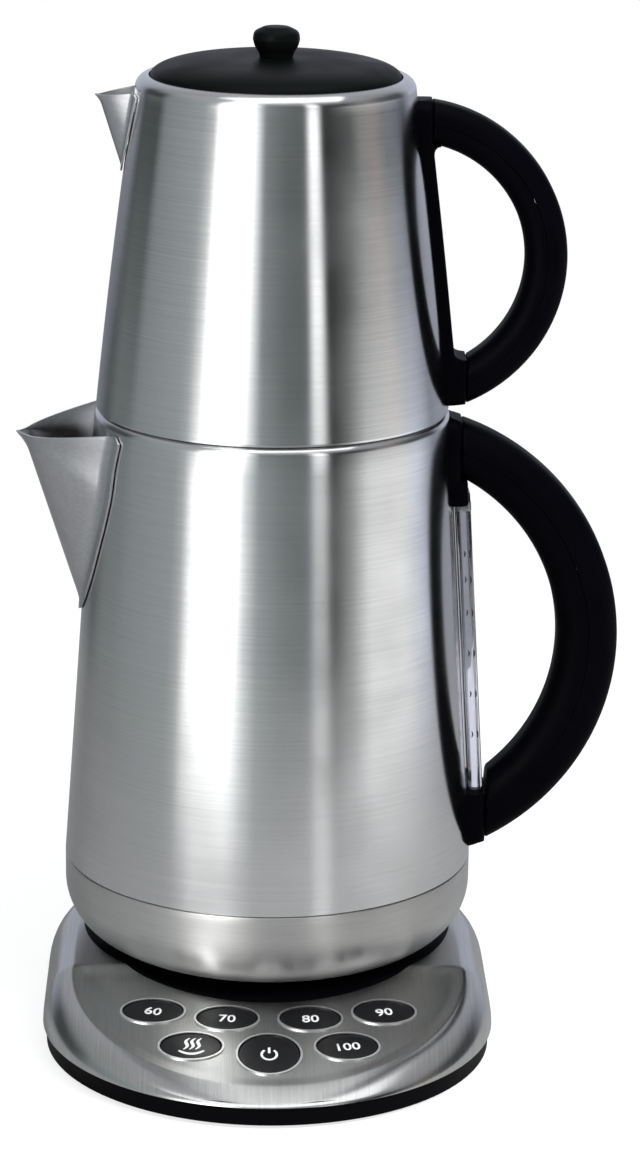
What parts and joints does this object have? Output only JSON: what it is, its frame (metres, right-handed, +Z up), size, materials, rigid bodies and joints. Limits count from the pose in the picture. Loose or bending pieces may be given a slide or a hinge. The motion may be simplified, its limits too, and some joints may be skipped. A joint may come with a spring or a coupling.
{
  "type": "two-tier electric tea maker",
  "caption": "Steel teapot with lid and strainer standing on a tall steel kettle with curved handles, a spout and a side gauge, on a rounded cordless base with a sloping button panel.",
  "frame": {"origin": "on the table under the feet, on the upright axis of the two pots", "axes": "+Z up along the pots' axis, +X towards the handles, -Y towards the button panel"},
  "size_m": [0.2407, 0.2335, 0.3949],
  "materials": {
    "base_steel": "brushed",
    "pot_steel": "brushed",
    "cup_steel": "brushed",
    "inner_steel": "satin",
    "screw_steel": "satin",
    "bezel_chrome": "polished",
    "heat_alloy": "satin",
    "contact_brass": "satin",
    "tray_black": "fine grain",
    "handle_black": "satin",
    "lid_black": "satin, fine grain",
    "button_black": "gloss",
    "collar_grey": "satin",
    "gauge_clear": "clear",
    "seal_rubber": "matte",
    "foot_rubber": "matte",
    "board_green": "satin",
    "part_grey": "matte"
  },
  "bodies": {
    "power_base": {"base_top_cover": "base_steel", "base_seat": "tray_black", "base_bottom_cover": "tray_black", "rubber_feet": "foot_rubber", "base_screws": "screw_steel", "base_connector": "tray_black", "connector_contacts": "contact_brass", "control_board": "board_green", "tact_switches": "part_grey", "power_board": "board_green", "relay": "part_grey", "cord_gland": "tray_black", "button_bezels": "bezel_chrome"},
    "kettle_plug": {"kettle_socket": "tray_black", "socket_contacts": "contact_brass"},
    "kettle": {"kettle_shell": "pot_steel", "kettle_spout": "pot_steel", "kettle_base_cap": "cup_steel", "heating_plate": "inner_steel", "plate_seal": "seal_rubber", "heat_spreader": "heat_alloy", "heating_element": "inner_steel", "temperature_sensor": "contact_brass", "safety_thermostat": "part_grey", "socket_carrier": "tray_black", "carrier_screws": "screw_steel", "kettle_mount_upper": "handle_black", "kettle_mount_lower": "handle_black", "kettle_grip_outer": "handle_black", "kettle_grip_inner": "handle_black", "gauge_tube": "gauge_clear", "gauge_collar": "collar_grey", "gauge_seals": "seal_rubber", "kettle_handle_screws": "screw_steel"},
    "teapot": {"teapot_shell": "pot_steel", "teapot_bottom": "pot_steel", "teapot_spout": "pot_steel", "teapot_handle_spine": "handle_black", "teapot_grip_outer": "handle_black", "teapot_grip_inner": "handle_black", "teapot_handle_screws": "screw_steel"},
    "strainer": {"tea_strainer": "inner_steel"},
    "lid": {"lid_cover": "lid_black", "lid_locating_ring": "lid_black", "lid_knob": "lid_black", "knob_screw": "screw_steel"},
    "button_60": {"button_60": "button_black"},
    "button_70": {"button_70": "button_black"},
    "button_80": {"button_80": "button_black"},
    "button_90": {"button_90": "button_black"},
    "button_100": {"button_100": "button_black"},
    "button_keep_warm": {"button_keep_warm": "button_black"},
    "button_power": {"button_power": "button_black"}
  },
  "joints": [
    {"name": "kettle_lift", "type": "slide", "parent": "power_base", "child": "kettle_plug", "axis": [0, 0, 1], "range_m": [0, 0.06]},
    {"name": "kettle_turn", "type": "hinge", "parent": "kettle_plug", "child": "kettle", "pos_m": [0, 0, 0.035], "axis": [0, 0, 1], "continuous": true},
    {"name": "teapot_lift", "type": "slide", "parent": "kettle", "child": "teapot", "axis": [0, 0, 1], "range_m": [0, 0.06]},
    {"name": "strainer_lift", "type": "slide", "parent": "teapot", "child": "strainer", "axis": [0, 0, 1], "range_m": [0, 0.1]},
    {"name": "lid_lift", "type": "slide", "parent": "strainer", "child": "lid", "axis": [0, 0, 1], "range_m": [0, 0.05]},
    {"name": "button_60_press", "type": "slide", "parent": "power_base", "child": "button_60", "axis": [0, 0.1833, -0.9831], "range_m": [0, 0.0006], "stiffness_N_per_m": 400, "springref_m": -0.0008},
    {"name": "button_70_press", "type": "slide", "parent": "power_base", "child": "button_70", "axis": [0, 0.1833, -0.9831], "range_m": [0, 0.0006], "stiffness_N_per_m": 400, "springref_m": -0.0008},
    {"name": "button_80_press", "type": "slide", "parent": "power_base", "child": "button_80", "axis": [0, 0.1833, -0.9831], "range_m": [0, 0.0006], "stiffness_N_per_m": 400, "springref_m": -0.0008},
    {"name": "button_90_press", "type": "slide", "parent": "power_base", "child": "button_90", "axis": [0, 0.1833, -0.9831], "range_m": [0, 0.0006], "stiffness_N_per_m": 400, "springref_m": -0.0008},
    {"name": "button_100_press", "type": "slide", "parent": "power_base", "child": "button_100", "axis": [0, 0.1833, -0.9831], "range_m": [0, 0.0006], "stiffness_N_per_m": 400, "springref_m": -0.0008},
    {"name": "button_keep_warm_press", "type": "slide", "parent": "power_base", "child": "button_keep_warm", "axis": [0, 0.1833, -0.9831], "range_m": [0, 0.0006], "stiffness_N_per_m": 400, "springref_m": -0.0008},
    {"name": "button_power_press", "type": "slide", "parent": "power_base", "child": "button_power", "axis": [0, 0.1833, -0.9831], "range_m": [0, 0.0006], "stiffness_N_per_m": 400, "springref_m": -0.0008}
  ]
}
